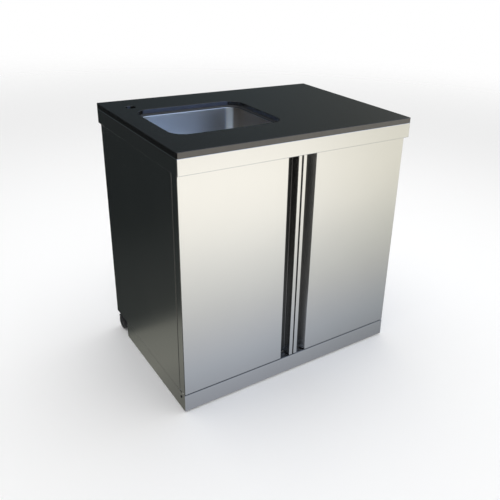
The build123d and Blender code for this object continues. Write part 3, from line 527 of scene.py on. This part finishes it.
def add_seal():
    """The dark bead that seals the bowl's ledge under the stone."""
    low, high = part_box("sink_bowl")
    middle = (low + high) / 2
    half = (high - low) / 2
    reach = (half.x - FLANGE - CUTOUT_R, half.y - FLANGE - CUTOUT_R)
    shape = bmesh.new()
    loops = [
        rounded_loop(shape, middle, reach, CUTOUT_R - inwards * MM, high.z + up * MM)
        for inwards, up in BEAD
    ]
    bridge(shape, loops, closed=True)
    add_piece("bowl_seal", shape, finishes["sealant"])


def add_heads(name, spots):
    """Screw heads that hang down from their seats."""
    turns = [2 * pi * i / HEAD_STEPS for i in range(HEAD_STEPS)]
    shape = bmesh.new()
    for x, y, z in spots:
        loops = []
        for out, down in HEAD:
            ring = [(x + out * MM * cos(t), y + out * MM * sin(t), z - down * MM) for t in turns]
            loops.append([shape.verts.new(point) for point in ring])
        bridge(shape, loops, closed=False)
        pit = shape.verts.new((x, y, z - HEAD_PIT * MM))
        for i in range(HEAD_STEPS):
            shape.faces.new((loops[-1][i], loops[-1][(i + 1) % HEAD_STEPS], pit))
        shape.faces.new(loops[0])
    add_piece(name, shape, finishes["screw_zinc"])


PLATE_T = 0.002
CASTOR_INSET = 0.007
PIVOT_INSET = 0.011
CATCH_OUT = 0.090  # a catch from the meeting line
CATCH_HALF = 0.012

add_seal()
for corner in ("front_left", "front_right", "rear_left", "rear_right"):
    low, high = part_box(f"{corner}_castor_plate")
    xs = (low.x + CASTOR_INSET, high.x - CASTOR_INSET)
    ys = (low.y + CASTOR_INSET, high.y - CASTOR_INSET)
    add_heads(f"{corner}_castor_screws", [(x, y, high.z - PLATE_T) for x in xs for y in ys])
for side in ("left", "right"):
    low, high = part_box(f"{side}_pivot_plate")
    xs = (low.x + PIVOT_INSET, high.x - PIVOT_INSET)
    add_heads(f"{side}_pivot_screws", [(x, high.y - PIVOT_INSET, low.z) for x in xs])
low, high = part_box("door_catches")
xs = [MEET_X + side * CATCH_OUT + half * CATCH_HALF for side in (-1, 1) for half in (-1, 1)]
add_heads("catch_screws", [(x, (low.y + high.y) / 2, low.z) for x in xs])

# ------------------------------------------------------------------ floor
FLOOR_HALF = 9.0
FLOOR_FADE = (2.6, 7.5)  # the floor melts into the white world between these distances
FLOOR_PALE = 0.95


def add_plane(name, corners):
    """A flat four-cornered stage piece."""
    mesh = bpy.data.meshes.new(name)
    mesh.from_pydata(corners, [], [(0, 1, 2, 3)])
    plane = bpy.data.objects.new(name, mesh)
    bpy.context.collection.objects.link(plane)
    return plane


def level(x_low, x_high, y_low, y_high, z):
    """The corners of a level rectangle."""
    return [(x_low, y_low, z), (x_high, y_low, z), (x_high, y_high, z), (x_low, y_high, z)]


def standing(start, end, top):
    """The corners of an upright rectangle that stands on the ground from one place to another."""
    return [(*start, 0), (*end, 0), (*end, top), (*start, top)]


def faded(name, value, start, end):
    """The floor's finish: matt and pale, clear beyond a distance from the middle."""
    material = empty_material(name)
    graph = Graph(material.node_tree)
    matt = graph.add("ShaderNodeBsdfDiffuse")
    matt.inputs["Color"].default_value = opaque(grey(value))
    clear = graph.add("ShaderNodeBsdfTransparent")
    coordinates = graph.add("ShaderNodeTexCoord")
    length = graph.add("ShaderNodeVectorMath", operation="LENGTH")
    graph.join(coordinates, "Object", length, 0)
    fade = graph.step(length, "Value", start, end)
    mix = graph.add("ShaderNodeMixShader")
    graph.join(fade, "Result", mix, "Fac")
    graph.join(matt, 0, mix, 1)
    graph.join(clear, 0, mix, 2)
    output = graph.add("ShaderNodeOutputMaterial")
    graph.join(mix, 0, output, "Surface")
    return material


floor = add_plane("floor", level(-FLOOR_HALF, FLOOR_HALF, -FLOOR_HALF, FLOOR_HALF, 0))
floor.data.materials.append(faded("floor_pale", FLOOR_PALE, *FLOOR_FADE))

# ------------------------------------------------------------------ cards
SIDE_X = -0.4435  # the unit's left side
FRONT_Y = -0.31  # just in front of the doors
REAR_Y = 0.33  # just behind the unit
CARD_Z = 0.002
CARD_FAR = 4.5
LEFT_FLAG_Y = (-5, 6)
LEFT_FLAG_TOP = 4.0
BACK_FLAG_END = 6
BACK_FLAG_TOP = 4.5
FRONT_CARD_END = -4.2
BACK_CARD_END = 4.4
AROUND_END = 3.2  # how far out the gradient behind and to the right runs
TO_BACK = (0, 1, 0)
TO_FRONT = (0, -1, 0)
TO_RIGHT = (1, 0, 0)
UP = (0, 0, 1)


def shade(value, red=1.0, blue=1.0):
    """A grey, tinted by its shares of red and of blue."""
    return (value * red, value, value * blue)


def add_card(name, corners, along, start, end, shades, across=None):
    """A card that only reflections see, as a photographer's flag or reflector.

    along, start and end measure a distance in metres; shades are (share of it, colour).
    across is a second direction with its start, end and the two colours that it multiplies by.
    """
    card = add_plane(name, corners)
    material = empty_material(name)
    graph = Graph(material.node_tree)
    coordinates = graph.add("ShaderNodeTexCoord")

    def gradient(direction, low, high, stops):
        reach = graph.along(coordinates, "Object", direction)
        share = graph.spread(reach, "Value", low, high)
        return graph.ramp(share, "Result", stops)

    colour = gradient(along, start, end, shades)
    if across:
        direction, low, high, near, far = across
        both = graph.add("ShaderNodeMix", data_type="RGBA", blend_type="MULTIPLY")
        both.inputs["Factor"].default_value = 1.0
        graph.join(colour, "Color", both, COLOUR_A)
        graph.join(gradient(direction, low, high, [(0.0, near), (1.0, far)]), "Color", both, COLOUR_B)
        colour = both
    glow = graph.add("ShaderNodeEmission")
    graph.tree.links.new(colour_output(colour), glow.inputs["Color"])
    output = graph.add("ShaderNodeOutputMaterial")
    graph.join(glow, 0, output, "Surface")
    card.data.materials.append(material)
    card.visible_camera = False
    card.visible_diffuse = False
    card.visible_transmission = False
    card.visible_shadow = False


# the ground to the left of the unit, as its side shows it: pale beside the front, dark beyond
add_card(
    "flag_left_floor",
    level(-CARD_FAR, SIDE_X, *LEFT_FLAG_Y, CARD_Z),
    TO_BACK,
    -0.6,
    1.6,
    [
        (0.0, shade(0.03)),
        (0.115, shade(0.03)),
        (0.14, shade(0.14, 0.98, 0.9)),
        (0.195, shade(0.16, 0.98, 0.9)),
        (0.26, shade(0.195, 0.98, 0.88)),
        (0.325, shade(0.18, 0.97, 0.88)),
        (0.365, shade(0.15, 0.97, 0.88)),
        (0.385, shade(0.065, 0.92, 0.93)),
        (0.42, shade(0.036, 0.88, 0.96)),
        (0.534, shade(0.032, 0.87, 0.97)),
        (0.664, shade(0.025, 0.84, 0.98)),
        (0.83, shade(0.015, 0.78, 1.0)),
        (1.0, shade(0.013, 0.75, 1.05)),
    ],
)
add_card(
    "flag_left_wall",
    standing((-CARD_FAR, LEFT_FLAG_Y[0]), (-CARD_FAR, LEFT_FLAG_Y[1]), LEFT_FLAG_TOP),
    UP,
    0.0,
    LEFT_FLAG_TOP,
    [(0.0, shade(0.013, 0.8)), (1.0, shade(0.02, 0.8))],
)
# the surroundings behind, as the stone shows them
add_card(
    "flag_back",
    standing((-CARD_FAR, CARD_FAR), (BACK_FLAG_END, CARD_FAR), BACK_FLAG_TOP),
    TO_RIGHT,
    0.0,
    BACK_FLAG_END,
    [
        (0.0, shade(0.06, 0.76, 1.12)),
        (0.22, shade(0.074, 0.76, 1.12)),
        (0.47, shade(0.108, 0.81, 1.06)),
        (0.72, shade(0.14, 0.91, 0.96)),
        (0.9, shade(0.18, 0.94, 0.93)),
        (1.0, shade(0.2, 0.95, 0.92)),
    ],
)
# the ground in front of the doors: darker and bluer close by, and darker to the right
add_card(
    "reflector_front",
    level(SIDE_X, CARD_FAR, FRONT_CARD_END, FRONT_Y, CARD_Z),
    TO_FRONT,
    -FRONT_Y,
    2.8,
    [
        (0.0, shade(0.345, 0.93, 1.13)),
        (0.068, shade(0.475, 0.92, 1.12)),
        (0.125, shade(0.56, 0.955, 1.07)),
        (0.19, shade(0.66, 0.98, 1.01)),
        (0.27, shade(0.80, 0.985, 0.975)),
        (0.37, shade(0.93, 0.995, 0.96)),
        (0.494, shade(1.12, 1.01, 0.94)),
        (0.653, shade(1.21, 1.02, 0.93)),
        (0.82, shade(1.27, 1.02, 0.925)),
        (0.945, shade(1.18, 1.02, 0.925)),
        (1.0, shade(1.13, 1.02, 0.925)),
    ],
    ((1, 0.75, 0), -0.4, 0.6, shade(1.0), shade(0.70, 1.005, 0.93)),
)
# and the ground behind and to the right, for the faces that the photograph doesn't show
AROUND = [(0.0, shade(0.36, 0.97, 1.05)), (0.25, shade(0.58)), (0.6, shade(0.80)), (1.0, shade(0.88))]
add_card(
    "reflector_back",
    level(SIDE_X, CARD_FAR, REAR_Y, BACK_CARD_END, CARD_Z),
    TO_BACK,
    REAR_Y,
    AROUND_END,
    AROUND,
    (TO_RIGHT, -0.4, 2.5, shade(1.0), shade(0.75)),
)
add_card(
    "reflector_right",
    level(-SIDE_X, CARD_FAR, FRONT_Y, REAR_Y, CARD_Z),
    TO_RIGHT,
    -SIDE_X,
    AROUND_END,
    AROUND,
)

# ------------------------------------------------------------------ world and lamp
DOME = ((0.05, (1.0, 1.0, 1.0)), (0.25, (0.62, 0.76, 1.0)), (1.0, (0.50, 0.64, 0.95)))
LEFT = (-0.95, 0.3, 0.0)
LEFT_RANGE = (-0.1, 0.5)
LEFT_SHADE = (0.10, 0.085, 0.07)
WORLD_LIGHT = 0.80


def add_world():
    """White to the camera; what mirrors it sees a bluish sky, darker to the left."""
    world = bpy.data.worlds.new("world")
    bpy.context.scene.world = world
    world.use_nodes = True
    sky = Graph(world.node_tree)
    direction = sky.add("ShaderNodeTexCoord")
    height = sky.add("ShaderNodeSeparateXYZ")
    sky.join(direction, "Generated", height, 0)
    dome = sky.ramp(height, "Z", DOME)
    left = sky.step(sky.along(direction, "Generated", LEFT), "Value", *LEFT_RANGE)
    mirrored = sky.mixed(left, dome, LEFT_SHADE)
    rays = sky.add("ShaderNodeLightPath")
    seen = sky.math("MAXIMUM", rays, "Is Camera Ray", other=rays, other_output="Is Transmission Ray")
    lit = sky.mixed(seen, grey(WORLD_LIGHT), grey(1.0))
    colour = sky.mixed(rays, lit, mirrored, "Is Glossy Ray")
    sky.join(colour, COLOUR_RESULT, sky.tree.nodes["Background"], "Color")


def add_lamp(name, at, aim, size, watts, tint):
    """A soft lamp that the camera doesn't see."""
    data = bpy.data.lights.new(name, "AREA")
    data.shape = "RECTANGLE"
    data.size, data.size_y = size
    data.energy = watts
    data.color = tint
    lamp = bpy.data.objects.new(name, data)
    bpy.context.collection.objects.link(lamp)
    lamp.location = at
    lamp.rotation_euler = (Vector(aim) - Vector(at)).to_track_quat("-Z", "Y").to_euler()
    lamp.visible_camera = False


add_world()
add_lamp("softbox_top", (0.2, 0.2, 3.2), (0, 0, 0.9), (2.8, 2.8), 42, (0.985, 0.99, 1.0))

# ------------------------------------------------------------------ end
scene_view = bpy.context.scene.view_settings
scene_view.view_transform = "Standard"
